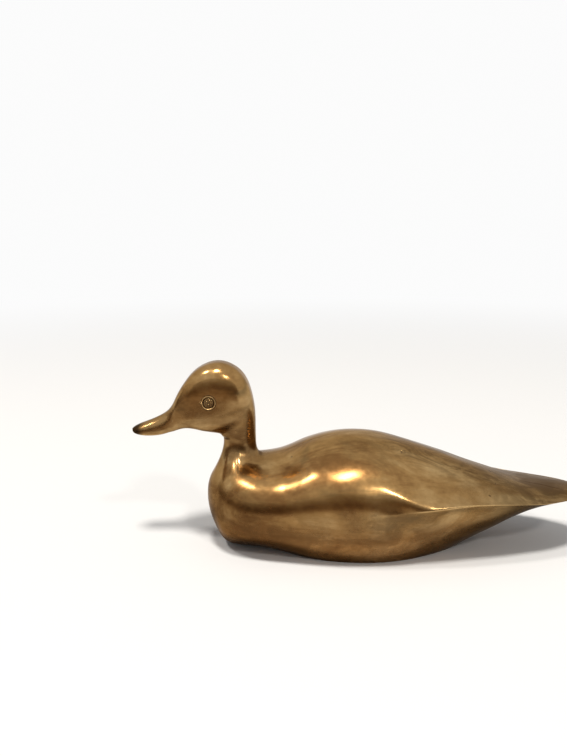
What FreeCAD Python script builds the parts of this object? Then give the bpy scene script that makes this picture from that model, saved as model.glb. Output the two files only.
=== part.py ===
"""Hollow cast brass duck: two half-shell body castings, a cast head and neck, a plate that closes the base, and felt.

The duck faces -X and stands on Z = 0. Y = 0 is its middle plane, and the origin is under the middle of its length.
"""
import FreeCAD, Part
import os

import Sketcher

V = FreeCAD.Vector

# Driving dimensions, in millimetres.
SIZES = (
    ("overall_length", 196.6, "bill tip to tail tip"),
    ("body_length", 164.8, "breast to tail tip"),
    ("body_width", 68.0, "across the flanks"),
    ("crown_height", 24.4, "back above the flank line"),
    ("flank_height", 24.0, "flank line above the table"),
    ("hull_depth", 36.4, "flank line down to the keel, as if the base were not cut flat"),
    ("wall", 2.4, "thickness of the hollow casting"),
    ("seam_height", 46.0, "seam under the head casting, above the table"),
    ("neck_setback", 14.1, "breast to the neck's axis"),
    ("neck_depth", 13.8, "neck at the seam, nape to throat"),
    ("neck_width", 12.6, "neck at the seam, side to side"),
    ("head_height", 33.4, "crown above the seam"),
    ("head_reach", 45.9, "bill tip in front of the neck's axis"),
    ("head_width", 22.0, "across the cheeks"),
    ("spigot_diameter", 8.0, "spigot under the head casting"),
    ("spigot_length", 12.0, "spigot below the seam"),
    ("socket_diameter", 12.0, "socket for the spigot, inside the body"),
    ("socket_length", 14.0, "socket below the seam"),
    ("spigot_clearance", 0.1, "all round the spigot"),
    ("plate_length", 74.0, "base plate along the duck"),
    ("plate_width", 44.0, "base plate across the duck"),
    ("plate_thickness", 1.6, "base plate"),
    ("plate_clearance", 0.2, "all round the base plate"),
    ("plate_setback", 66.0, "breast to the middle of the base plate"),
    ("ledge_width", 2.4, "ledge the base plate sits against"),
    ("ledge_thickness", 2.0, "ledge, top to bottom"),
    ("felt_thickness", 1.2, "felt"),
    ("felt_clearance", 0.4, "felt back from the rebate's side"),
    ("eye_diameter", 5.4, "engraved ring, over its middle"),
    ("eye_line", 0.8, "width of the engraved ring"),
    ("eye_depth", 0.5, "ring's depth in the cheek"),
    ("eye_setback", 12.1, "eye in front of the neck's axis"),
    ("eye_height", 18.0, "eye above the seam"),
)

# One row a station of the body, from breast to tail: shares of the body's length, of half its width, of the flank's
# height, of the crown's height, of the hull's depth, and of a full edge, where 0 is a round flank and 1 a wing edge.
BODY_SHARES = (
    (0.0004, 0.050, 0.896, 0.060, 0.040, 0.0),
    (0.003, 0.150, 0.896, 0.192, 0.137, 0.0),
    (0.012, 0.300, 0.875, 0.393, 0.270, 0.0),
    (0.028, 0.450, 0.854, 0.560, 0.415, 0.0),
    (0.050, 0.590, 0.846, 0.684, 0.530, 0.0),
    (0.082, 0.705, 0.846, 0.738, 0.563, 0.0),
    (0.130, 0.810, 0.860, 0.738, 0.582, 0.0),
    (0.195, 0.885, 0.890, 0.760, 0.655, 0.0),
    (0.270, 0.955, 0.945, 0.915, 0.815, 0.0),
    (0.350, 1.000, 0.985, 1.000, 0.945, 0.0),
    (0.435, 1.003, 1.005, 0.970, 0.998, 0.08),
    (0.515, 0.980, 1.035, 0.810, 0.980, 0.40),
    (0.590, 0.930, 1.080, 0.600, 0.890, 0.80),
    (0.665, 0.865, 1.095, 0.405, 0.715, 0.95),
    (0.745, 0.780, 1.065, 0.225, 0.490, 1.0),
    (0.820, 0.665, 1.005, 0.125, 0.252, 1.0),
    (0.885, 0.545, 0.978, 0.078, 0.118, 1.0),
    (0.940, 0.390, 0.970, 0.050, 0.060, 1.0),
    (0.980, 0.200, 0.960, 0.030, 0.035, 1.0),
    (1.000, 0.050, 0.955, 0.020, 0.020, 1.0),
)
CAVITY_STATIONS = slice(3, 15)

# One row a level of the neck's foot, from the seam down: shares of the seam's height, of half the neck's depth back to
# the nape and forward to the throat, and of half its width.
NECK_SHARES = (
    (1.000, 1.00, 1.00, 1.00),
    (0.960, 1.01, 1.00, 1.01),
    (0.930, 1.07, 1.01, 1.08),
    (0.900, 1.24, 1.05, 1.22),
    (0.875, 1.52, 1.10, 1.42),
    (0.850, 1.85, 1.16, 1.68),
    (0.800, 2.10, 1.32, 1.85),
    (0.740, 2.10, 1.55, 1.80),
    (0.690, 2.00, 1.69, 1.65),
    (0.630, 1.90, 1.78, 1.45),
)

# One row a section of the head, from the seam to the bill's tip. The outer end runs over nape and crown and the inner
# end along throat and jaw: each as a share of the head's reach and of its height. Then the share of half its width.
HEAD_SHARES = (
    ((-0.1503, 0.000), (0.1503, 0.000), 0.573),
    ((-0.1460, 0.170), (0.1580, 0.035), 0.630),
    ((-0.1430, 0.360), (0.1720, 0.068), 0.740),
    ((-0.1150, 0.600), (0.2100, 0.098), 0.900),
    ((-0.0300, 0.850), (0.2700, 0.116), 0.985),
    ((0.1700, 1.000), (0.3400, 0.130), 1.000),
    ((0.3650, 0.923), (0.4100, 0.150), 0.940),
    ((0.5050, 0.727), (0.4850, 0.155), 0.800),
    ((0.6050, 0.500), (0.5650, 0.127), 0.620),
    ((0.6640, 0.376), (0.6400, 0.088), 0.510),
    ((0.7510, 0.294), (0.7330, 0.056), 0.455),
    ((0.8500, 0.231), (0.8400, 0.050), 0.435),
    ((0.9350, 0.180), (0.9300, 0.066), 0.385),
    ((0.9820, 0.146), (0.9800, 0.090), 0.260),
    ((1.0000, 0.130), (0.9995, 0.112), 0.090),
)

# Where the middle handle of a quarter of an ellipse lies, as a share of its half axis.
ROUND = 0.5523
HALF_TURN = 180


def make_document():
    doc = FreeCAD.newDocument("BrassDuck")
    sheet = doc.addObject("Spreadsheet::Sheet", "Sizes")
    for row, (alias, value, note) in enumerate(SIZES, start=1):
        sheet.set(f"A{row}", str(value))
        sheet.setAlias(f"A{row}", alias)
        sheet.set(f"B{row}", note)
    doc.recompute()
    return doc, sheet


doc, sheet = make_document()


def size(alias):
    return float(sheet.get(alias))


def bezier(*points):
    curve = Part.BezierCurve()
    curve.setPoles([V(*point) for point in points])
    return curve.toShape()


def mirrored(shape):
    return shape.mirror(V(0, 0, 0), V(0, 1, 0))


def tail_x():
    return size("overall_length") / 2


def breast_x():
    return tail_x() - size("body_length")


def neck_x():
    return breast_x() + size("neck_setback")


# Body castings.
def body_section(row, inset):
    """Half a section on the -Y side, from the back round the flank to the keel, closed along the middle plane."""
    along, wide, line, crown, keel, edge = row
    x = breast_x() + along * size("body_length")
    w = wide * size("body_width") / 2 - inset
    z = line * size("flank_height")
    top = z + crown * size("crown_height") - inset
    low = z - keel * size("hull_depth") + inset
    above = (w * (1 - 0.22 * edge), z + (top - z) * (ROUND - 0.35 * edge))
    below = (w * (1 - 0.12 * edge), z - (z - low) * (ROUND - 0.36 * edge))
    return Part.Wire([
        bezier((x, 0, top), (x, -w * ROUND, top), (x, -above[0], above[1]), (x, -w, z)),
        bezier((x, -w, z), (x, -below[0], below[1]), (x, -w * ROUND, low), (x, 0, low)),
        Part.makeLine(V(x, 0, low), V(x, 0, top)),
    ])


def body_half_form(rows, inset=0.0):
    return Part.makeLoft([body_section(row, inset) for row in rows], True, False)


def neck_foot_section(row):
    level, nape, throat, wide = row
    z = level * size("seam_height")
    back = neck_x() + nape * size("neck_depth") / 2
    front = neck_x() - throat * size("neck_depth") / 2
    w = wide * size("neck_width") / 2
    middle = neck_x()
    return Part.Wire([
        bezier((back, 0, z), (back, -w * ROUND, z), (middle + (back - middle) * ROUND, -w, z), (middle, -w, z)),
        bezier((middle, -w, z), (middle + (front - middle) * ROUND, -w, z), (front, -w * ROUND, z), (front, 0, z)),
        Part.makeLine(V(front, 0, z), V(back, 0, z)),
    ])


def neck_foot_form():
    return Part.makeLoft([neck_foot_section(row) for row in NECK_SHARES], True, False)


def oval_prism(length, width, low, high):
    """An upright oval block over the base plate's middle."""
    middle = V(breast_x() + size("plate_setback"), 0, low)
    oval = Part.Ellipse(middle, length / 2, width / 2).toShape()
    return Part.Face(Part.Wire(oval)).extrude(V(0, 0, high - low))


def half_space(low, high):
    """A block on the -Y side between two levels, longer and wider than the duck."""
    reach = 2 * size("overall_length")
    return Part.makeBox(2 * reach, reach, high - low, V(-reach, -reach, low))


def body_half():
    deep = size("hull_depth")
    outside = body_half_form(BODY_SHARES).fuse(neck_foot_form())
    outside = outside.cut(half_space(-deep, 0))

    plate_top = size("felt_thickness") + size("plate_thickness")
    ledge_top = plate_top + size("ledge_thickness")
    cavity = body_half_form(BODY_SHARES[CAVITY_STATIONS], size("wall"))
    cavity = cavity.cut(half_space(-deep, ledge_top))
    rebate_length = size("plate_length") + 2 * size("plate_clearance")
    rebate_width = size("plate_width") + 2 * size("plate_clearance")
    opening_length = size("plate_length") - 2 * size("ledge_width")
    opening_width = size("plate_width") - 2 * size("ledge_width")
    shell = outside.cut(cavity)
    shell = shell.cut(oval_prism(opening_length, opening_width, -ledge_top, 2 * ledge_top))
    shell = shell.cut(oval_prism(rebate_length, rebate_width, -plate_top, plate_top))

    foot = V(neck_x(), 0, size("seam_height") - size("socket_length"))
    up = V(0, 0, 1)
    socket = Part.makeCylinder(size("socket_diameter") / 2, size("socket_length"), foot, up, HALF_TURN)
    socket = mirrored(socket)
    bore_diameter = size("spigot_diameter") + 2 * size("spigot_clearance")
    bore = Part.makeCylinder(bore_diameter / 2, 2 * size("socket_length"), foot - up * (size("socket_length") / 2))
    return shell.fuse(socket).cut(bore)


# Head and neck casting.
def head_section(row):
    (back_reach, back_rise), (front_reach, front_rise), wide = row
    out = V(neck_x() - back_reach * size("head_reach"), 0, size("seam_height") + back_rise * size("head_height"))
    inn = V(neck_x() - front_reach * size("head_reach"), 0, size("seam_height") + front_rise * size("head_height"))
    middle = (out + inn) / 2
    side = V(0, wide * size("head_width") / 2, 0)
    arm = (out - inn) / 2
    edges = []
    for a, b in ((arm, -side), (-side, -arm), (-arm, side), (side, arm)):
        edges.append(bezier(middle + a, middle + a + b * ROUND, middle + b + a * ROUND, middle + b))
    return Part.Wire(edges)


def head_form():
    return Part.makeLoft([head_section(row) for row in HEAD_SHARES], True, False)


def eye_ring(side):
    """The tool that engraves one eye: a ring, from outside the cheek to its depth below the cheek's surface."""
    x = neck_x() - size("eye_setback")
    z = size("seam_height") + size("eye_height")
    floor = size("head_width") / 2 - size("eye_depth") - size("eye_line")
    reach = size("head_width")
    at = V(x, side * floor, z)
    outer = Part.makeCylinder((size("eye_diameter") + size("eye_line")) / 2, reach, at, V(0, side, 0))
    inner = Part.makeCylinder((size("eye_diameter") - size("eye_line")) / 2, reach, at, V(0, side, 0))
    return outer.cut(inner)


def head_and_neck():
    foot = V(neck_x(), 0, size("seam_height") - size("spigot_length"))
    spigot = Part.makeCylinder(size("spigot_diameter") / 2, size("spigot_length"), foot)
    head = head_form().fuse(spigot)
    for side in (1, -1):
        head = head.cut(eye_ring(side))
    return head


def cast(name, shape):
    """A casting's document object, its Label naming its file."""
    piece = doc.addObject("Part::Feature", name)
    piece.Label = name
    piece.Shape = shape
    piece.Placement = FreeCAD.Placement()
    return piece


# Base plate and felt.
def oval_pad(name, length, width, level, thickness):
    """A flat oval body under the duck's middle; length, width, level and thickness are formulas over the sheet."""
    body = doc.addObject("PartDesign::Body", name + "_body")
    body.Label = name
    ground = next(f for f in body.Origin.OriginFeatures if f.Role == "XY_Plane")
    sketch = body.newObject("Sketcher::SketchObject", name + "_outline")
    sketch.AttachmentSupport = (ground, [""])
    sketch.MapMode = "FlatFace"
    sketch.setExpression("AttachmentOffset.Base.z", level)
    sketch.setExpression(
        "AttachmentOffset.Base.x", "Sizes.overall_length / 2 - Sizes.body_length + Sizes.plate_setback")
    sketch.addGeometry(Part.Ellipse(V(0, 0, 0), size("plate_length") / 2, size("plate_width") / 2))
    sketch.exposeInternalGeometry(0)
    sketch.addConstraint(Sketcher.Constraint("Coincident", 0, 3, -1, 1))
    sketch.addConstraint(Sketcher.Constraint("Horizontal", 1))
    for axis, formula, value in ((1, length, size("plate_length")), (2, width, size("plate_width"))):
        row = sketch.addConstraint(Sketcher.Constraint("Distance", axis, value))
        sketch.setExpression(f"Constraints[{row}]", formula)
    pad = body.newObject("PartDesign::Pad", name + "_pad")
    pad.Profile = sketch
    pad.setExpression("Length", thickness)
    body.Tip = pad
    return body


def base_plate():
    return oval_pad("base_plate", "Sizes.plate_length", "Sizes.plate_width", "Sizes.felt_thickness",
                    "Sizes.plate_thickness")


def felt_pad():
    return oval_pad("felt_pad", "Sizes.plate_length - 2 * Sizes.felt_clearance",
                    "Sizes.plate_width - 2 * Sizes.felt_clearance", "0 mm", "Sizes.felt_thickness")


def build_pieces():
    left = body_half()
    return [
        cast("body_left_half", left),
        cast("body_right_half", mirrored(left)),
        cast("head_and_neck", head_and_neck()),
        base_plate(),
        felt_pad(),
    ]


def check(pieces):
    for thing in doc.Objects:
        if "Invalid" in thing.State or "Error" in thing.State:
            raise ValueError(f"{thing.Label} did not compute: {thing.State}")
    for piece in pieces:
        if piece.Shape.isNull() or not piece.Shape.isValid():
            raise ValueError(f"{piece.Label} has no valid shape")
        if len(piece.Shape.Solids) != 1:
            raise ValueError(f"{piece.Label} is not one solid")


def main():
    pieces = build_pieces()
    doc.recompute()
    check(pieces)
    os.makedirs("parts", exist_ok=True)
    for piece in pieces:
        piece.Shape.exportStep(f"parts/{piece.Label}.step")
        print(piece.Label, round(piece.Shape.Volume), "mm3")


main()
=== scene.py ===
import math

import bpy
import numpy as np
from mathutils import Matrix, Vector


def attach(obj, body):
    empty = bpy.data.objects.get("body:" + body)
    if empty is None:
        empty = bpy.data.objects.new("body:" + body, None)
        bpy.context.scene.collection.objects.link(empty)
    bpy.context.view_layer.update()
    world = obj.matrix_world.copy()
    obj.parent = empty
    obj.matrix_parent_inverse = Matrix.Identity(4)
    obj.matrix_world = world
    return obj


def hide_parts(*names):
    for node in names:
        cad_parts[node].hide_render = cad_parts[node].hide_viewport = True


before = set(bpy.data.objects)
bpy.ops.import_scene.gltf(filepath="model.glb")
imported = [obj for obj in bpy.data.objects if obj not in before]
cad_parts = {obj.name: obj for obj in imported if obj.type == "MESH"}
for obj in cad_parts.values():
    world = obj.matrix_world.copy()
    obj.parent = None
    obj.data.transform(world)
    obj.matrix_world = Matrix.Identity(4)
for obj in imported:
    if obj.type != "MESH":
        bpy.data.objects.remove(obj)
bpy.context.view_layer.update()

MM = 0.001

# Sizes of the part, in millimetres.
LENGTH, BODY_LENGTH, BODY_WIDTH = 196.6, 164.8, 68.0
CROWN, FLANK, HULL = 24.4, 24.0, 36.4
SEAM, NECK_SETBACK = 46.0, 14.1
HEAD_HEIGHT, HEAD_REACH, HEAD_WIDTH = 33.4, 45.9, 22.0
PLATE_LENGTH, PLATE_WIDTH, PLATE_SETBACK, REBATE_DEPTH = 74.4, 44.4, 66.0, 2.8
SPIGOT_RADIUS, SPIGOT_LENGTH, BORE_RADIUS, BORE_DEPTH = 4.0, 12.0, 4.1, 14.0
EYE_SETBACK, EYE_HEIGHT, EYE_RADIUS = 12.1, 18.0, 2.2
BILL_STEP = 0.22
SKIRT_BACK, SKIRT_SIDE, SKIRT_FRONT = 10.8, 6.2, 1.0
POLISH_SLOPE, POLISH_INSET, POLISH_FADE = 0.0014, 0.05, 4.0
TAIL_X = LENGTH / 2
BREAST_X = TAIL_X - BODY_LENGTH
NECK_X = BREAST_X + NECK_SETBACK
PLATE_X = BREAST_X + PLATE_SETBACK
ROUND = 0.5523

# Rows and columns of the grids.
HEAD_GRID, BODY_GRID, SKIRT_ROWS = (380, 260), (620, 260), 60

# Station along the body, half width, flank height, rise to the back, fall to the keel, how sharp the flank is.
BODY_SHARES = (
    (0.0000, 0.000, 0.896, 0.000, 0.000, 0.0),
    (0.003, 0.150, 0.896, 0.192, 0.137, 0.0),
    (0.012, 0.300, 0.875, 0.393, 0.270, 0.0),
    (0.028, 0.450, 0.854, 0.560, 0.415, 0.0),
    (0.050, 0.590, 0.846, 0.684, 0.530, 0.0),
    (0.082, 0.705, 0.846, 0.738, 0.563, 0.0),
    (0.130, 0.810, 0.860, 0.738, 0.582, 0.0),
    (0.195, 0.885, 0.890, 0.760, 0.655, 0.0),
    (0.270, 0.955, 0.945, 0.915, 0.815, 0.0),
    (0.350, 1.000, 0.985, 1.000, 0.945, 0.0),
    (0.435, 1.003, 1.005, 0.970, 0.998, 0.08),
    (0.515, 0.980, 1.035, 0.810, 0.980, 0.40),
    (0.590, 0.930, 1.080, 0.600, 0.890, 0.80),
    (0.665, 0.865, 1.095, 0.405, 0.715, 0.95),
    (0.745, 0.780, 1.065, 0.225, 0.490, 1.0),
    (0.820, 0.665, 1.005, 0.125, 0.252, 1.0),
    (0.885, 0.545, 0.978, 0.078, 0.118, 1.0),
    (0.940, 0.390, 0.970, 0.050, 0.060, 1.0),
    (0.980, 0.200, 0.960, 0.030, 0.035, 1.0),
    (1.000, 0.000, 0.955, 0.000, 0.000, 1.0),
)

# Back point's reach and rise, front point's reach and rise, half width. The first row only steers the curve.
HEAD_SHARES = (
    (-0.1503, -0.060, 0.1503, -0.060, 0.590),
    (-0.1503, 0.000, 0.1503, 0.000, 0.590),
    (-0.1460, 0.170, 0.1580, 0.035, 0.615),
    (-0.1430, 0.360, 0.1720, 0.068, 0.690),
    (-0.1150, 0.600, 0.2100, 0.098, 0.850),
    (-0.0300, 0.850, 0.2700, 0.116, 0.965),
    (0.1700, 1.000, 0.3400, 0.130, 1.000),
    (0.3650, 0.923, 0.4100, 0.150, 0.940),
    (0.5050, 0.727, 0.4850, 0.155, 0.800),
    (0.6050, 0.500, 0.5650, 0.127, 0.620),
    (0.6640, 0.376, 0.6400, 0.088, 0.510),
    (0.7510, 0.294, 0.7330, 0.056, 0.455),
    (0.8500, 0.231, 0.8400, 0.050, 0.435),
    (0.9350, 0.180, 0.9300, 0.066, 0.385),
    (0.9820, 0.146, 0.9800, 0.090, 0.260),
    (1.0000, 0.125, 1.0000, 0.125, 0.000),
)


# Curves and grids.
def spline(knots, values, at):
    """A natural cubic through the values at the knots, read at other places."""
    knots, values, at = map(lambda a: np.asarray(a, float), (knots, values, at))
    n, gap = len(knots), np.diff(knots)
    slope = np.diff(values, axis=0) / gap[:, None]
    grid, right = np.eye(n), np.zeros_like(values)
    for k in range(1, n - 1):
        grid[k, k - 1:k + 2] = gap[k - 1], 2 * (gap[k - 1] + gap[k]), gap[k]
        right[k] = 6 * (slope[k] - slope[k - 1])
    bend = np.linalg.solve(grid, right)
    k = np.clip(np.searchsorted(knots, at) - 1, 0, n - 2)
    a, b, g = (at - knots[k])[:, None], (knots[k + 1] - at)[:, None], gap[k][:, None]
    return (bend[k] * b ** 3 + bend[k + 1] * a ** 3) / (6 * g) + (values[k] / g - bend[k] * g / 6) * b + \
        (values[k + 1] / g - bend[k + 1] * g / 6) * a


def chords(points):
    steps = np.linalg.norm(np.diff(points, axis=0), axis=1)
    return np.concatenate([[0], np.cumsum(steps)])


def smoothstep(low, high, x):
    t = np.clip((np.asarray(x, float) - low) / (high - low), 0, 1)
    return t * t * (3 - 2 * t)


def bell(x, centre, width):
    return np.exp(-((x - centre) / width) ** 2)


def bezier(points, t):
    a, b, c, d = points
    return (1 - t) ** 3 * a + 3 * (1 - t) ** 2 * t * b + 3 * (1 - t) * t * t * c + t ** 3 * d


def crowded(low, high, count, centre, width, crowd):
    """Places from low to high that lie closer together round the centre."""
    fine = np.linspace(low, high, 4000)
    total = np.cumsum(1 + crowd * bell(fine, centre, width))
    return np.interp(np.linspace(total[0], total[-1], count), total, fine)


def unit(v):
    return v / np.maximum(np.linalg.norm(v, axis=-1, keepdims=True), 1e-12)


def grid_normals(p, inside):
    """Normals of a grid of points, all turned away from the inside."""
    n = unit(np.cross(np.gradient(p, axis=0, edge_order=2), np.gradient(p, axis=1, edge_order=2)))
    return np.where(((p - inside) * n).sum(-1, keepdims=True) < 0, -n, n)


def bends(p, n):
    """Least and greatest curvature along the grid's lines, per millimetre; hollows are negative."""
    out = []
    for axis in (0, 1):
        dp, dn = np.gradient(p, axis=axis), np.gradient(n, axis=axis)
        out.append((dp * dn).sum(-1) / np.maximum((dp * dp).sum(-1), 1e-5))
    return np.minimum(*out), np.maximum(*out)


def level_edges(n):
    """At the middle plane both halves share one normal."""
    for edge in (0, -1):
        n[:, edge, 1] = 0
        n[:, edge] = unit(n[:, edge])
    return n


# Body.
def body_rows():
    rows = np.array(BODY_SHARES)
    return np.stack([BREAST_X + rows[:, 0] * BODY_LENGTH, rows[:, 1] * BODY_WIDTH / 2, rows[:, 2] * FLANK,
                     rows[:, 3] * CROWN, rows[:, 4] * HULL, rows[:, 5]], 1)


ROWS = body_rows()
KNOTS = chords(ROWS[:, [0, 1, 3, 4]])


def body_state(u):
    state = spline(KNOTS, ROWS, u)
    state[:, 0] = np.clip(state[:, 0], BREAST_X, TAIL_X)
    state[:, 1:5] = np.maximum(state[:, 1:5], 0)
    state[:, 5] = np.clip(state[:, 5], 0, 1)
    return state


def section(state, v):
    """Half a section on the -Y side. v runs 0 to 1 from the back to the flank and 1 to 2 from there to the keel."""
    x, w, z, up, down, edge = [state[:, k][:, None] for k in range(6)]
    top, low = z + up, z - down
    t = np.where(v <= 1, v, v - 1)[..., None]
    upper = ((0 * w, top), (w * ROUND, top), (w * (1 - 0.22 * edge), z + up * (ROUND - 0.35 * edge)), (w, z))
    lower = ((w, z), (w * (1 - 0.12 * edge), z - down * (ROUND - 0.36 * edge)), (w * ROUND, low), (0 * w, low))
    upper, lower = [bezier([np.stack(np.broadcast_arrays(a, b), -1) for a, b in half], t) for half in (upper, lower)]
    yz = np.where(v[..., None] <= 1, upper, lower)
    return np.stack([np.broadcast_to(x, v.shape), -yz[..., 0], yz[..., 1]], -1)


def body_top(x, y):
    """Height of the back over a point of the table, away from the flank."""
    fine = np.linspace(KNOTS[0], KNOTS[-1], 3000)
    u = np.interp(x, np.maximum.accumulate(body_state(fine)[:, 0]), fine)
    cut = section(body_state(u), np.tile(np.linspace(0, 1, 400), (len(u), 1)))
    return np.array([np.interp(abs(b), -row[:, 1], row[:, 2]) for b, row in zip(y, cut)])


def base_share(state):
    """Where along the lower quarter each section meets the table; 2 where it stays above it."""
    v = np.tile(np.linspace(1, 2, 600), (len(state), 1))
    out = np.full(len(state), 2.0)
    for k, z in enumerate(section(state, v)[..., 2]):
        under = np.nonzero(z < 0)[0]
        if len(under):
            j = under[0]
            out[k] = np.interp(0, [z[j], z[j - 1]], [v[k, j], v[k, j - 1]])
    return out


def body_grid(rows, columns):
    state = body_state(np.linspace(KNOTS[0], KNOTS[-1], rows))
    end, half = base_share(state), columns // 2
    v = np.concatenate([np.tile(np.linspace(0, 1, half, endpoint=False), (rows, 1)),
                        1 + (end - 1)[:, None] * np.linspace(0, 1, columns - half)[None]], 1)
    return wing_edge(section(state, v), state, half), end


# Where the flank is a little fuller or hollower than its sections: x, z, spread and height.
FULLNESS = ((-21.0, 33.0, 11.0, 0.40), (-8.0, 27.0, 5.0, -0.10))


def wing_edge(p, state, ridge):
    """Softens the flank's edge a little; its front end curls up and over a hollow that fades out forwards."""
    for _ in range(10):
        mean = p.copy()
        mean[:, 1:-1] = (p[:, :-2] + 2 * p[:, 1:-1] + p[:, 2:]) / 4
        p = p + (mean - p) * bell(np.arange(p.shape[1]), ridge, 8.0)[None, :, None] * state[:, 5][:, None, None]
    n = grid_normals(p, p * np.array([1, 0, 1]))
    run = np.concatenate([np.zeros((len(p), 1)), np.cumsum(np.linalg.norm(np.diff(p, axis=1), axis=2), 1)], 1)
    x = p[..., 0]
    crest = 10.0 * (1 - smoothstep(-2.0, 27.0, x))
    above = run[:, ridge][:, None] - run - crest
    fade = smoothstep(0.0, 22.0, x) * (1 - smoothstep(30.0, 60.0, x))
    lip = 0.40 * bell(above, 1.0, 3.0) + 0.20 * bell(above, 7.0, 6.0)
    full = sum(height * bell(x, at_x, size) * bell(p[..., 2], at_z, size) for at_x, at_z, size, height in FULLNESS)
    return p + n * (fade * (lip - 0.75 * bell(above, -4.5, 3.6)) + full)[..., None]


def neck_skirt(around, along, ring, ring_slope):
    """Rings on the -Y side from the seam down; its last rings lie on the body."""
    turn = np.linspace(0, np.pi, around)
    front, side = np.maximum(-np.cos(turn), 0) ** 1.5, np.sin(turn) ** 2
    reach = SKIRT_BACK + SKIRT_SIDE * np.sin(turn) ** 1.2 + SKIRT_FRONT * front
    out = unit(ring[:, :2] - np.array([NECK_X, 0]))
    plan = np.array([[NECK_X, 0.0]]) + out * reach[:, None]
    more = plan + out * 0.02
    end = np.concatenate([plan, body_top(*plan.T)[:, None]], 1)
    lean = unit(np.concatenate([more, body_top(*more.T)[:, None]], 1) - end)
    span = np.linalg.norm(end - ring, axis=1, keepdims=True)
    a = (0.60 - 0.18 * side - 0.25 * front)[:, None] * span
    b = (0.38 - 0.05 * side - 0.12 * front)[:, None] * span
    t = np.linspace(0, 1, along)[:, None, None]
    skirt = bezier([ring[None], (ring + a * ring_slope)[None], (end - b * lean)[None], end[None]], t)
    return np.concatenate([skirt, (end + lean * 0.5 - np.array([0, 0, 0.03]))[None]], 0), reach


# Head.
def head_points(u, angle, knots, at):
    s = spline(knots, at, u)
    back, front, half = s[:, [0, 1]], s[:, [2, 3]], np.maximum(s[:, 4], 0)
    bill = smoothstep(knots[8], knots[11], u)
    c, d = np.cos(angle)[None], np.abs(np.sin(angle))[None]
    jaw = 1 + 0.9 * smoothstep(0.1, 0.8, -c) * smoothstep(knots[3], knots[5], u)[:, None]
    power = 2.0 + 1.1 * smoothstep(knots[1], knots[3], u)[:, None] * (1 - 0.55 * bill[:, None]) * jaw
    radius = (np.abs(c) ** power + d ** power) ** (-1 / power)
    lengthwise, sideways = radius * c, radius * d
    lengthwise = lengthwise - (0.30 * bill)[:, None] * (1 - lengthwise ** 2)
    mid, arm = (back + front) / 2, (back - front) / 2
    xz = mid[:, None] + arm[:, None] * lengthwise[..., None]
    return np.stack([xz[..., 0], -half[:, None] * sideways, xz[..., 1]], -1)


def head_grid(rows, columns):
    t = np.array(HEAD_SHARES)
    at = np.stack([NECK_X - t[:, 0] * HEAD_REACH, SEAM + t[:, 1] * HEAD_HEIGHT, NECK_X - t[:, 2] * HEAD_REACH,
                   SEAM + t[:, 3] * HEAD_HEIGHT, t[:, 4] * HEAD_WIDTH / 2], 1)
    knots = chords(at)
    u, angle = np.linspace(knots[1], knots[-1], 240), np.linspace(0, np.pi, 160)
    rough = head_points(u, angle, knots, at)
    away = np.hypot(rough[..., 0] - (NECK_X - EYE_SETBACK), rough[..., 2] - (SEAM + EYE_HEIGHT))
    row, column = np.unravel_index(np.argmin(away), away.shape)
    eye = rough[row, column]
    stride = [np.linalg.norm(rough[row + 3, column] - rough[row - 3, column]) / (u[6] - u[0]),
              np.linalg.norm(rough[row, column + 3] - rough[row, column - 3]) / (angle[6] - angle[0])]
    u = crowded(knots[1], knots[-1], rows, u[row], 3.6 / stride[0], 7)
    angle = crowded(0, np.pi, columns, angle[column], 3.6 / stride[1], 7)
    p = head_points(u, angle, knots, at)
    n = grid_normals(p, p.mean(1, keepdims=True) * np.array([1, 0, 1]))
    behind = p[..., 0] - 0.10 * (p[..., 2] - 57)
    step = -BILL_STEP * (1 - smoothstep(-81.6, -78.9, behind)) * smoothstep(-97, -88, p[..., 0])
    depth, stain_and_shade = eye_relief(p, eye)
    return p + n * (step + depth)[..., None], stain_and_shade


def eye_relief(p, eye):
    """A raised rim, a cut ring with a notch towards the bill, and a punched, slightly domed disc; ring, notch and disc
    are also painted darker, as shade with dirt.
    """
    dx, dz = p[..., 0] - eye[0], p[..., 2] - eye[2]
    r = np.hypot(dx, dz)
    dimples = np.sin(dx * 11 + np.sin(dz * 7)) * np.sin(dz * 10 + 1.3 * np.sin(dx * 8))
    disc = 1 - smoothstep(EYE_RADIUS - 0.5, EYE_RADIUS - 0.2, r)
    notch = bell(dz, 0.1, 0.28) * smoothstep(EYE_RADIUS - 0.2, EYE_RADIUS + 0.2, -dx) * \
        (1 - smoothstep(EYE_RADIUS + 0.9, EYE_RADIUS + 1.5, -dx))
    ring = bell(r, EYE_RADIUS, 0.24)
    depth = 0.18 * bell(r, EYE_RADIUS + 0.5, 0.28) - 0.42 * ring + disc * (0.10 * (1 - (r / EYE_RADIUS) ** 2) - 0.14
                                                                        + 0.11 * dimples) - 0.3 * notch
    return depth, np.clip(ring + 0.9 * disc + 0.9 * notch, 0, 1)


# Hand-polished brass is never quite even: long low waves over the whole surface.
WAVES = np.random.default_rng(7).normal(size=(14, 3))
WAVES *= (2 * np.pi / np.linspace(9, 26, 14) / np.linalg.norm(WAVES, axis=1))[:, None]
PHASES = np.random.default_rng(8).uniform(0, 2 * np.pi, 14)


def polish(p, n):
    """Moves the points by the waves and turns the normals to suit."""
    turn = p @ WAVES.T + PHASES
    height = POLISH_SLOPE * 2 * np.pi / np.linalg.norm(WAVES, axis=1)
    share = smoothstep(0, POLISH_FADE, p[..., 2])[..., None]
    slope = (np.cos(turn) * height) @ WAVES * share
    slope -= (slope * n).sum(-1, keepdims=True) * n
    low = p + n * share * ((np.sin(turn) * height).sum(-1, keepdims=True) - POLISH_INSET)
    low[..., 1] = np.where(np.abs(p[..., 1]) < 1e-6, 0, low[..., 1])
    low[..., 2] = np.maximum(low[..., 2], 0)
    low[..., 0] = np.clip(low[..., 0], -LENGTH / 2, LENGTH / 2)
    return low, unit(n - slope)


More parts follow.
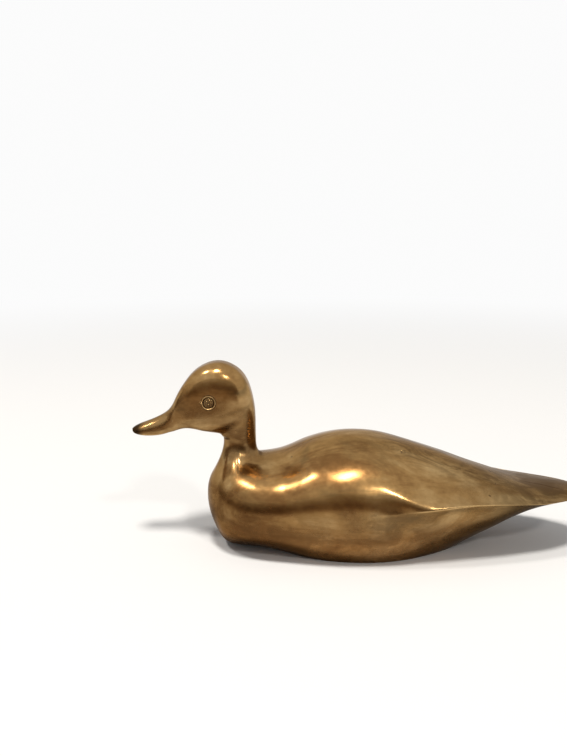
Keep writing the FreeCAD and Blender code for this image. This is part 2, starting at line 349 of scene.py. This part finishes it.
# Meshes.
def add_mesh(name, parts, outline=None):
    """parts: grids of points, normals and a stain-and-shade value, joined in one mesh; outline: a flat face in the
    middle plane.
    """
    verts, normals, stains_and_shade, faces, base = [], [], [], [], 0
    for p, n, stain_and_shade in parts:
        k = np.arange(p.shape[0] * p.shape[1]).reshape(p.shape[:2])
        quad = np.stack([k[:-1, :-1], k[1:, :-1], k[1:, 1:], k[:-1, 1:]], -1).reshape(-1, 4)
        flat_p, flat_n = p.reshape(-1, 3), n.reshape(-1, 3)
        a, b, c, d = (flat_p[quad[:, i]] for i in range(4))
        face = np.cross(c - a, d - b)
        keep = (np.linalg.norm(face, axis=1) > 1e-7) & np.isfinite(a[:, 0] + b[:, 0] + c[:, 0] + d[:, 0])
        quad, face = quad[keep], face[keep]
        wrong = (face * flat_n[quad].sum(1)).sum(1) < 0
        quad[wrong] = quad[wrong][:, ::-1]
        used, where = np.unique(quad, return_inverse=True)
        faces += (where.reshape(-1, 4) + base).tolist()
        verts.append(flat_p[used])
        normals.append(flat_n[used])
        stains_and_shade.append(np.broadcast_to(stain_and_shade, p.shape[:2]).reshape(-1)[used])
        base += len(used)
    if outline is not None:
        points, facing = outline
        verts.append(points)
        normals.append(np.tile([0.0, facing, 0.0], (len(points), 1)))
        stains_and_shade.append(np.zeros(len(points)))
        order = list(range(base, base + len(points)))
        x, z = points[:, 0], points[:, 2]
        turns = np.sum(x * np.roll(z, -1) - np.roll(x, -1) * z)
        faces.append(order if turns * facing < 0 else order[::-1])
    mesh = bpy.data.meshes.new(name)
    mesh.from_pydata((np.concatenate(verts) * MM).tolist(), [], faces)
    mesh.shade_smooth()
    mesh.normals_split_custom_set_from_vertices(np.concatenate(normals).tolist())
    stain_and_shade = mesh.attributes.new("stain_and_shade", "FLOAT", "POINT")
    stain_and_shade.data.foreach_set("value", np.concatenate(stains_and_shade).astype(np.float32))
    thing = bpy.data.objects.new(name, mesh)
    bpy.context.scene.collection.objects.link(thing)
    return thing


def worn_and_shaded(p, n, extra=0.0):
    """The value is 0.5 on open surfaces, up to 1 in hollows, which are painted darker as shade with dirt, and down to
    0 on rubbed edges.
    """
    hollow, crest = bends(p, n)
    stain_and_shade = 0.5 * smoothstep(0.12, 0.5, -hollow) - 0.5 * smoothstep(0.35, 1.1, crest)
    stain_and_shade[:, :3], stain_and_shade[:, -3:] = stain_and_shade[:, 3:4], stain_and_shade[:, -4:-3]
    return np.clip(0.5 + stain_and_shade + 0.5 * extra, 0, 1)


def flat_grid(rings, normal):
    p = np.stack(rings)
    return p, np.broadcast_to(np.array(normal, float), p.shape), 0.6


def arc(centre, radii, z, angles):
    return np.stack([centre + radii[0] * np.cos(angles), -radii[1] * np.sin(angles), np.full(len(angles), z)], -1)


def cylinder(radius, low, high, angles, facing):
    p = np.stack([arc(NECK_X, (radius, radius), z, angles) for z in (low, high)])
    n = facing * unit((p - np.array([NECK_X, 0, 0])) * np.array([1, 1, 0]))
    return p, n, 0.6


head, eye_stain_and_shade = head_grid(*HEAD_GRID)
ring = head[0]
skirt, reach = neck_skirt(len(ring), SKIRT_ROWS, ring, unit(head[0] - head[1]))
body, base_ends = body_grid(*BODY_GRID)

body_n = level_edges(grid_normals(body, np.stack([body[..., 0] * 0.8, 0 * body[..., 1], 0 * body[..., 2] + 20], -1)))
skirt_n = level_edges(grid_normals(skirt, np.array([NECK_X, 0.0, 20.0])))
head_n = level_edges(grid_normals(head, head.mean(1, keepdims=True) * np.array([1, 0, 1])))
# Both sides of the neck's seam share one normal.
skirt_n[0] = head_n[0] = unit(skirt_n[0] + head_n[0])

# Under the neck the body's skin is open, so the casting has no hidden faces.
around = np.arctan2(-body[..., 1], body[..., 0] - NECK_X)
limit = np.interp(around, np.arctan2(-(ring[:, 1]), ring[:, 0] - NECK_X), reach)
covered = (np.hypot(body[..., 0] - NECK_X, body[..., 1]) < limit - 1.0) & (body[..., 2] > FLANK)

# The cut base: a land round the oval rebate for the plate.
angles = np.linspace(0, np.pi, 241)
on_table = body[base_ends < 2, -1]
bearing = np.arctan2(-on_table[:, 1], on_table[:, 0] - PLATE_X)
order = np.argsort(bearing)
far = np.interp(angles, bearing[order], np.hypot(on_table[order, 0] - PLATE_X, on_table[order, 1]))
rim = arc(PLATE_X, (far, far), 0.0, angles)
oval = (PLATE_LENGTH / 2, PLATE_WIDTH / 2)
lip, floor_edge = arc(PLATE_X, oval, 0.0, angles), arc(PLATE_X, oval, REBATE_DEPTH, angles)
centre = arc(PLATE_X, (0.0, 0.0), REBATE_DEPTH, angles)
wall_n = unit(-(np.stack([lip, floor_edge]) - np.array([PLATE_X, 0, 0])) * np.array([1, 1, 0]))


def seam_face(ring, radius, facing):
    """The flat face at the neck's seam, from the neck's edge in to a bore or a spigot."""
    edge = np.stack([np.interp(angles, np.linspace(0, np.pi, len(ring)), ring[:, k]) for k in range(3)], -1)
    return flat_grid([edge, arc(NECK_X, (radius, radius), SEAM, angles)], (0, 0, facing))


def underside(ring):
    low = SEAM - BORE_DEPTH
    return [flat_grid([rim, rim * 0.7 + lip * 0.3, rim * 0.3 + lip * 0.7, lip], (0, 0, -1)),
            (np.stack([lip, floor_edge]), wall_n, 0.9), flat_grid([floor_edge, centre], (0, 0, -1)),
            seam_face(ring, BORE_RADIUS, 1), cylinder(BORE_RADIUS, low, SEAM, angles, -1),
            flat_grid([arc(NECK_X, (r, r), low, angles) for r in (BORE_RADIUS, 0.0)], (0, 0, 1))]


def middle_outline(body, skirt):
    """The closed edge of one half in the middle plane."""
    back = body[:, 0]
    keel = body[:, -1][base_ends == 2]
    foot_back, foot_front = skirt[:-1, 0], skirt[:-1, -1]
    before_neck = back[back[:, 0] < foot_front[-1, 0]]
    after_neck = back[back[:, 0] > foot_back[-1, 0]]
    breast_keel, tail_keel = keel[keel[:, 0] < PLATE_X], keel[keel[:, 0] > PLATE_X]
    bore = [(NECK_X - BORE_RADIUS, 0, SEAM), (NECK_X - BORE_RADIUS, 0, SEAM - BORE_DEPTH),
            (NECK_X + BORE_RADIUS, 0, SEAM - BORE_DEPTH), (NECK_X + BORE_RADIUS, 0, SEAM)]
    loop = [before_neck[1:], foot_front[::-1], bore, foot_back, after_neck[:-1], tail_keel[::-1],
            [rim[0], lip[0], floor_edge[0], floor_edge[-1], lip[-1], rim[-1]], breast_keel[1:][::-1]]
    loop = np.concatenate([np.asarray(part, float) for part in loop]) * np.array([1, 0, 1])
    return loop[np.linalg.norm(loop - np.roll(loop, 1, axis=0), axis=1) > 1e-4]


def flipped(parts):
    flip = np.array([1.0, -1.0, 1.0])
    return [(p * flip, n * flip, stain_and_shade) for p, n, stain_and_shade in parts]


def polished(parts):
    return [(*polish(p, n), stain_and_shade) for p, n, stain_and_shade in parts]


# A dark hairline painted along the tail's top, off the middle: painted shade standing in for a shallow cleft.
hairline = np.interp(body[..., 0], [68, 78, 86], [0.9, 1.8, 6.0])
cleft_shade = 0.9 * bell(-body[..., 1], hairline, 0.45) * smoothstep(66, 72, body[..., 0]) * \
    (1 - smoothstep(83, 88, body[..., 0])) * (body[..., 2] > 23)


def casting_half(name, cleft_shade, facing):
    skins = [(body, body_n, worn_and_shaded(body, body_n, cleft_shade)), (skirt, skirt_n, worn_and_shaded(skirt, skirt_n))]
    skins = polished(skins if facing > 0 else flipped(skins))
    outline = middle_outline(skins[0][0], skins[1][0])
    ring = skins[1][0][0] * np.array([1, facing, 1])
    skins[0][0][covered] = np.nan
    lower = underside(ring)
    return ring, add_mesh(name, skins + (lower if facing > 0 else flipped(lower)), (outline, facing))


left_ring, left = casting_half("left_half_skin", cleft_shade, 1.0)
right_ring, right = casting_half("right_half_skin", 0.0, -1.0)

head_sides = [(head, head_n, worn_and_shaded(head, head_n, eye_stain_and_shade))]
head_sides = polished(head_sides + flipped(head_sides))
head_sides[0][0][0], head_sides[1][0][0] = left_ring, right_ring * np.array([1, -1, 1])
low = SEAM - SPIGOT_LENGTH
spigot = [cylinder(SPIGOT_RADIUS, low, SEAM, angles, 1),
          flat_grid([arc(NECK_X, (r, r), low, angles) for r in (SPIGOT_RADIUS, 0.0)], (0, 0, -1))]
head_skin = add_mesh("head_skin", head_sides + spigot + [seam_face(left_ring, SPIGOT_RADIUS, -1)]
                     + flipped(spigot + [seam_face(right_ring, SPIGOT_RADIUS, -1)]))


# Materials.
def material(name):
    mat = bpy.data.materials.new(name)
    mat.use_nodes = True
    return mat, mat.node_tree, mat.node_tree.nodes["Principled BSDF"]


def node(tree, kind, inputs=(), **settings):
    """Adds a node; inputs are values or other nodes' sockets by name or place. Returns its first output."""
    new = tree.nodes.new("ShaderNode" + kind)
    for key, value in settings.items():
        setattr(new, key, value)
    for key, value in dict(inputs).items():
        if isinstance(value, bpy.types.NodeSocket):
            tree.links.new(value, new.inputs[key])
        else:
            new.inputs[key].default_value = value
    return new.outputs[0]


def noise(tree, at, scale, detail=4.0, roughness=0.55, distortion=0.0):
    return node(tree, "TexNoise", {"Vector": at, "Scale": scale, "Detail": detail, "Roughness": roughness,
                                   "Distortion": distortion})


def ramp(tree, value, low, high, start=0.0, end=1.0):
    return node(tree, "MapRange", {0: value, 1: low, 2: high, 3: start, 4: end}, interpolation_type="SMOOTHSTEP")


def maths(tree, operation, a, b):
    return node(tree, "Math", {0: a, 1: b}, operation=operation)


def mix(tree, share, a, b, blend="MIX"):
    new = tree.nodes.new("ShaderNodeMix")
    new.data_type, new.blend_type = "RGBA", blend
    for place, value in ((0, share), (6, a), (7, b)):
        if isinstance(value, bpy.types.NodeSocket):
            tree.links.new(value, new.inputs[place])
        elif place:
            new.inputs[place].default_value = (*value, 1)
        else:
            new.inputs[place].default_value = value
    return new.outputs[2]


def stretched(tree, at, scale):
    return node(tree, "Mapping", {"Vector": at, "Scale": scale})


def bump(tree, height, distance, strength=1.0, below=None):
    inputs = {"Height": height, "Distance": distance, "Strength": strength}
    if below is not None:
        inputs["Normal"] = below
    return node(tree, "Bump", inputs)


BROWN, BRONZE, GOLD = (0.20, 0.10, 0.034), (0.33, 0.19, 0.07), (0.52, 0.345, 0.155)
OLIVE, DIRT_AND_SHADE = (0.14, 0.09, 0.038), (0.045, 0.02, 0.008)
SMUDGE, RUBBED, DARK_TIP_REFLECTION = (0.085, 0.045, 0.018), (0.60, 0.40, 0.18), (0.02, 0.010, 0.005)

# Where the brass is painted darker and is duller: four places along x and four up z, in millimetres, between which it
# fades in and out, how much of it is dark, and its colour there. The dark is painted reflection and painted shade on
# the tail, the flank, the cheek, the neck, the bill, the breast and the hull, and a painted shadow along the bottom
# edge; on the rear and on the flank it is partly tarnish too. Dull brass is rougher too.
SHADE_AND_TARNISH_PATCHES = (
    ((14, 84, 120, 130), (0, 1, 60, 70), 0.95, (0.075, 0.044, 0.019)),
    ((-20, -4, 20, 38), (8, 19, 23.5, 28.5), 0.65, (0.09, 0.056, 0.027)),
    ((-86, -80, -46, -36), (36, 46, 58, 70), 0.62, (0.11, 0.053, 0.019)),
    ((-82, -76, -46, -34), (33, 40, 48, 56), 0.62, (0.085, 0.040, 0.015)),
    ((-120, -112, -83, -79), (40, 50, 80, 90), 0.50, (0.10, 0.050, 0.019)),
    ((-80, -70, -48, -30), (-2, -1, 25, 34), 0.80, (0.080, 0.033, 0.010)),
    ((-70, -45, 70, 100), (-2, -1, 12, 22), 0.6, (0.115, 0.056, 0.020)),
    ((-72, -60, -20, -5), (8, 14, 22, 27), 0.4, (0.11, 0.057, 0.021)),
    ((-120, -110, 90, 110), (-2, -1, 0.8, 2.6), 0.7, (0.06, 0.028, 0.011)),
)


def brass():
    mat, tree, shader = material("aged_brass")
    at = tree.nodes.new("ShaderNodeTexCoord").outputs["Object"]
    stain_and_shade = node(tree, "Attribute", attribute_name="stain_and_shade")
    stain_and_shade = stain_and_shade.node.outputs["Fac"]
    place = tree.nodes.new("ShaderNodeSeparateXYZ")
    tree.links.new(at, place.inputs[0])
    x, y, z = place.outputs["X"], place.outputs["Y"], place.outputs["Z"]

    clouds = noise(tree, at, 24, 5, 0.6, 0.6)
    smears = noise(tree, stretched(tree, at, (22, 70, 70)), 1, 6, 0.65, 0.9)
    grain = noise(tree, at, 420, 5, 0.65)
    tone = maths(tree, "ADD", maths(tree, "MULTIPLY", clouds, 0.55), maths(tree, "MULTIPLY", smears, 0.45))
    colour = mix(tree, ramp(tree, tone, 0.38, 0.49), BROWN, BRONZE)
    colour = mix(tree, ramp(tree, tone, 0.47, 0.62), colour, GOLD)
    olive = noise(tree, stretched(tree, at, (18, 30, 44)), 1, 5, 0.6, 1.4)
    colour = mix(tree, ramp(tree, olive, 0.53, 0.70, 0, 0.6), colour, OLIVE)

    # Low down the hull is painted redder, a painted warm reflection from below; then darker, duller patches: painted
    # reflection and shade, partly tarnish.
    warm_reflection = mix(tree, 1.0, colour, (0.98, 0.84, 0.76), "MULTIPLY")
    colour = mix(tree, ramp(tree, z, 0.022, 0.008, 0, 0.7), colour, warm_reflection)
    cloudy = ramp(tree, noise(tree, stretched(tree, at, (60, 60, 110)), 1, 6, 0.65, 1.0), 0.36, 0.58, 0.5, 1.0)
    dullness = None
    for (x0, x1, x2, x3), (z0, z1, z2, z3), share, shade_and_tarnish_colour in SHADE_AND_TARNISH_PATCHES:
        patch = maths(tree, "MULTIPLY", ramp(tree, x, x0 * MM, x1 * MM), ramp(tree, x, x3 * MM, x2 * MM))
        patch = maths(tree, "MULTIPLY", patch, ramp(tree, z, z0 * MM, z1 * MM))
        patch = maths(tree, "MULTIPLY", patch, ramp(tree, z, z3 * MM, z2 * MM))
        patch = maths(tree, "MULTIPLY", maths(tree, "MULTIPLY", patch, cloudy), share)
        colour = mix(tree, patch, colour, shade_and_tarnish_colour)
        dullness = patch if dullness is None else maths(tree, "MAXIMUM", dullness, patch)

    # Smears gather on top of the rear back.
    near_middle = ramp(tree, maths(tree, "ABSOLUTE", y, 0.0), 0.024, 0.009)
    rear = maths(tree, "MULTIPLY", ramp(tree, x, -0.012, 0.022), near_middle)
    smudges = ramp(tree, noise(tree, stretched(tree, at, (38, 120, 120)), 1, 7, 0.7, 1.8), 0.40, 0.60, 0.35, 1.0)
    smudges = maths(tree, "MULTIPLY", maths(tree, "MULTIPLY", smudges, rear), 0.85)
    colour = mix(tree, smudges, colour, SMUDGE)
    # Hollows, the eye's recesses and the cleft on the tail are painted darker: painted shade, with dirt. Rubbed edges
    # are lighter from wear.
    hollow = maths(tree, "MULTIPLY", ramp(tree, stain_and_shade, 0.56, 1.0), ramp(tree, grain, 0.3, 0.55, 0.7, 1.0))
    colour = mix(tree, maths(tree, "MULTIPLY", hollow, 0.85), colour, DIRT_AND_SHADE)
    colour = mix(tree, ramp(tree, stain_and_shade, 0.46, 0.0, 0, 0.6), colour, RUBBED)
    # The bill's tip is painted near black: a painted dark reflection.
    tip_reflection = ramp(tree, maths(tree, "ADD", x, maths(tree, "MULTIPLY", grain, 0.002)), -0.0915, -0.0945)
    colour = mix(tree, maths(tree, "MULTIPLY", tip_reflection, 0.92), colour, DARK_TIP_REFLECTION)

    pits = tree.nodes.new("ShaderNodeTexVoronoi")
    pits.inputs["Scale"].default_value = 200
    tree.links.new(at, pits.inputs["Vector"])
    size = node(tree, "SeparateColor", {0: pits.outputs["Color"]})
    size = ramp(tree, size, 0.86, 1.0, -0.03, 0.14)
    pit = ramp(tree, maths(tree, "SUBTRACT", pits.outputs["Distance"], size), 0.02, -0.02)
    pit = maths(tree, "MULTIPLY", pit, ramp(tree, smears, 0.44, 0.54))
    colour = mix(tree, maths(tree, "MULTIPLY", pit, 0.85), colour, DIRT_AND_SHADE)
    speckle = mix(tree, ramp(tree, grain, 0.35, 0.65), (0.93, 0.92, 0.9), (1.04, 1.04, 1.04))
    colour = mix(tree, 1.0, colour, speckle, "MULTIPLY")
    tree.links.new(colour, shader.inputs["Base Color"])
    shader.inputs["Metallic"].default_value = 1.0
    shader.inputs["Specular Tint"].default_value = (0.68, 0.61, 0.54, 1)

    rough = maths(tree, "ADD", ramp(tree, smears, 0.35, 0.68, 0.22, 0.11), ramp(tree, grain, 0.3, 0.7, -0.01, 0.03))
    rough = maths(tree, "ADD", rough, ramp(tree, stain_and_shade, 0.55, 1.0, 0.0, 0.2))
    rough = maths(tree, "ADD", rough, maths(tree, "MULTIPLY", tip_reflection, 0.15))
    rough = maths(tree, "ADD", rough, maths(tree, "MULTIPLY", dullness, 0.17))
    tree.links.new(rough, shader.inputs["Roughness"])

    scratches = noise(tree, stretched(tree, at, (90, 1500, 1500)), 1, 2, 0.5, 0.3)
    relief = bump(tree, noise(tree, at, 120, 2, 0.5), 0.00008)
    relief = bump(tree, grain, 0.00001, below=relief)
    relief = bump(tree, scratches, 0.000006, below=relief)
    relief = bump(tree, maths(tree, "MULTIPLY", pit, -1.0), 0.0002, below=relief)
    tree.links.new(relief, shader.inputs["Normal"])
    return mat


def sheet_brass():
    mat, tree, shader = material("brass_sheet")
    at = tree.nodes.new("ShaderNodeTexCoord").outputs["Object"]
    lines = noise(tree, stretched(tree, at, (30, 2200, 400)), 1, 3, 0.6)
    clouds = noise(tree, at, 90, 5, 0.6)
    colour = mix(tree, ramp(tree, clouds, 0.35, 0.65), (0.20, 0.11, 0.038), (0.36, 0.225, 0.085))
    colour = mix(tree, ramp(tree, lines, 0.4, 0.6, 0, 0.35), colour, (0.42, 0.28, 0.12))
    tree.links.new(colour, shader.inputs["Base Color"])
    shader.inputs["Metallic"].default_value = 1.0
    tree.links.new(ramp(tree, lines, 0.3, 0.7, 0.30, 0.48), shader.inputs["Roughness"])
    tree.links.new(bump(tree, lines, 0.00002), shader.inputs["Normal"])
    return mat


def felt():
    mat, tree, shader = material("green_felt")
    at = tree.nodes.new("ShaderNodeTexCoord").outputs["Object"]
    fibres = noise(tree, at, 900, 8, 0.75, 3.0)
    matted = noise(tree, at, 130, 4, 0.6, 1.0)
    colour = mix(tree, ramp(tree, fibres, 0.3, 0.7), (0.008, 0.022, 0.012), (0.03, 0.062, 0.034))
    colour = mix(tree, ramp(tree, matted, 0.48, 0.75, 0, 0.4), colour, (0.05, 0.075, 0.045))
    tree.links.new(colour, shader.inputs["Base Color"])
    shader.inputs["Roughness"].default_value = 0.95
    shader.inputs["Sheen Weight"].default_value = 0.35
    shader.inputs["Sheen Roughness"].default_value = 0.5
    tree.links.new(bump(tree, fibres, 0.0003, 0.8, bump(tree, matted, 0.0004)), shader.inputs["Normal"])
    return mat


metal = brass()
for piece, solid in ((left, "body_left_half"), (right, "body_right_half"), (head_skin, "head_and_neck")):
    piece.data.materials.append(metal)
    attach(piece, "root")
    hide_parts(solid)
for solid, finish in (("base_plate", sheet_brass()), ("felt_pad", felt())):
    data = bpy.data.objects[solid].data
    data.materials.clear()
    data.materials.append(finish)


# Stage.
def plane(name, corners, colour, roughness):
    mesh = bpy.data.meshes.new(name)
    mesh.from_pydata(corners, [], [tuple(range(len(corners)))])
    thing = bpy.data.objects.new(name, mesh)
    bpy.context.scene.collection.objects.link(thing)
    mat, tree, shader = material(name)
    shader.inputs["Base Color"].default_value = (*colour, 1)
    shader.inputs["Roughness"].default_value = roughness
    mesh.materials.append(mat)
    return thing, tree, shader


def seen_directly(tree):
    """1 for the camera, and for what metal and glass show."""
    path = tree.nodes.new("ShaderNodeLightPath").outputs
    return maths(tree, "MAXIMUM", path["Is Camera Ray"], maths(tree, "MAXIMUM", path["Is Glossy Ray"],
                                                               path["Is Transmission Ray"]))


def add_floor(reach):
    """A pale floor that keeps the shadow near the object and runs into the white far away."""
    _, tree, shader = plane("floor", [(-reach, -reach, 0), (reach, -reach, 0), (reach, reach, 0), (-reach, reach, 0)],
                            FLOOR_COLOUR, 0.9)
    at = tree.nodes.new("ShaderNodeTexCoord").outputs["Object"]
    far = ramp(tree, node(tree, "VectorMath", {0: at}, operation="LENGTH").node.outputs["Value"], *FLOOR_FADE)
    white = node(tree, "Emission", {"Strength": WHITE})
    share = maths(tree, "MULTIPLY", far, seen_directly(tree))
    blend = node(tree, "MixShader", {0: share, 1: shader.outputs[0], 2: white})
    tree.links.new(blend, tree.nodes["Material Output"].inputs["Surface"])


def add_card(name, corners, near, far):
    """A card just outside the picture, dark at its near end or foot and pale where it ends. It only reflects."""
    thing, tree, shader = plane(name, corners, DARK, 0.9)
    at = node(tree, "SeparateXYZ", {0: tree.nodes.new("ShaderNodeTexCoord").outputs["Object"]}).node.outputs[near[0]]
    tree.links.new(mix(tree, ramp(tree, at, near[1], far), DARK, PALE), shader.inputs["Base Color"])
    thing.visible_camera = thing.visible_shadow = thing.visible_diffuse = False


def lamp(name, azimuth, elevation, diameter, power, distance=2.5):
    """A round soft lamp seen from the object at this azimuth (0 is towards the camera, 90 towards the tail)."""
    a, e = math.radians(azimuth), math.radians(elevation)
    way = Vector((math.sin(a) * math.cos(e), -math.cos(a) * math.cos(e), math.sin(e)))
    data = bpy.data.lights.new(name, "AREA")
    data.shape, data.size, data.energy = "DISK", diameter, power
    data.color = (1.0, 0.96, 0.9)
    thing = bpy.data.objects.new(name, data)
    bpy.context.scene.collection.objects.link(thing)
    thing.location = way * distance + Vector((0, 0, 0.03))
    thing.rotation_euler = way.to_track_quat("Z", "Y").to_euler()


WHITE, SOFT = 0.97, 0.3
FLOOR_COLOUR, FLOOR_REACH, FLOOR_FADE = (0.85, 0.85, 0.85), 12.0, (0.22, 1.0)
add_floor(FLOOR_REACH)
# Dark cards just outside the picture, as a photographer sets them round polished metal.
# Only reflections show them.
CARD_LEFT, CARD_RIGHT, CARD_NEAR, CARD_FAR, CARD_TOP = -0.75, 0.4, -0.5, 0.3, 0.34
DARK, PALE = (0.30, 0.22, 0.16), (0.9, 0.88, 0.85)
low, high = 0.001, CARD_TOP
add_card("near_card", [(CARD_LEFT, CARD_NEAR, low), (CARD_RIGHT, CARD_NEAR, low), (CARD_RIGHT, CARD_NEAR, high),
                       (CARD_LEFT, CARD_NEAR, high)], ("Z", 0.08), CARD_TOP)
add_card("left_card", [(CARD_LEFT, CARD_NEAR, low), (CARD_LEFT, CARD_FAR, low), (CARD_LEFT, CARD_FAR, high),
                       (CARD_LEFT, CARD_NEAR, high)], ("Z", 0.08), CARD_TOP)
add_card("dark_cloth", [(CARD_LEFT, CARD_NEAR, low), (0.25, CARD_NEAR, low), (0.055, -0.16, low), (-0.115, -0.16, low),
                        (-0.28, CARD_FAR, low), (CARD_LEFT, CARD_FAR, low)], ("Y", -0.22), 0.1)

lamp("high_lamp", -8, 73, 0.46, 42.0)
lamp("side_lamp", -76, 60, 0.30, 16.0)
lamp("tail_lamp", 26, 42, 0.24, 8.0)

world = bpy.data.worlds.new("world")
bpy.context.scene.world = world
world.use_nodes = True
tree = world.node_tree
tree.nodes["Background"].inputs["Color"].default_value = (1, 1, 1, 1)
strength = ramp(tree, seen_directly(tree), 0, 1, SOFT, WHITE)
tree.links.new(strength, tree.nodes["Background"].inputs["Strength"])

camera = bpy.data.cameras.new("camera")
SENSOR, FOCAL_PIXELS, IMAGE_HEIGHT = 36, 795, 756
camera.lens = FOCAL_PIXELS / IMAGE_HEIGHT * SENSOR
camera.sensor_width = SENSOR
camera.clip_start = 0.01
view = bpy.data.objects.new("camera", camera)
view.location = (-0.0337, -0.3279, 0.1418)
view.rotation_euler = (math.radians(78), 0, 0)
bpy.context.scene.collection.objects.link(view)
bpy.context.scene.camera = view
bpy.context.scene.view_settings.view_transform = "Standard"
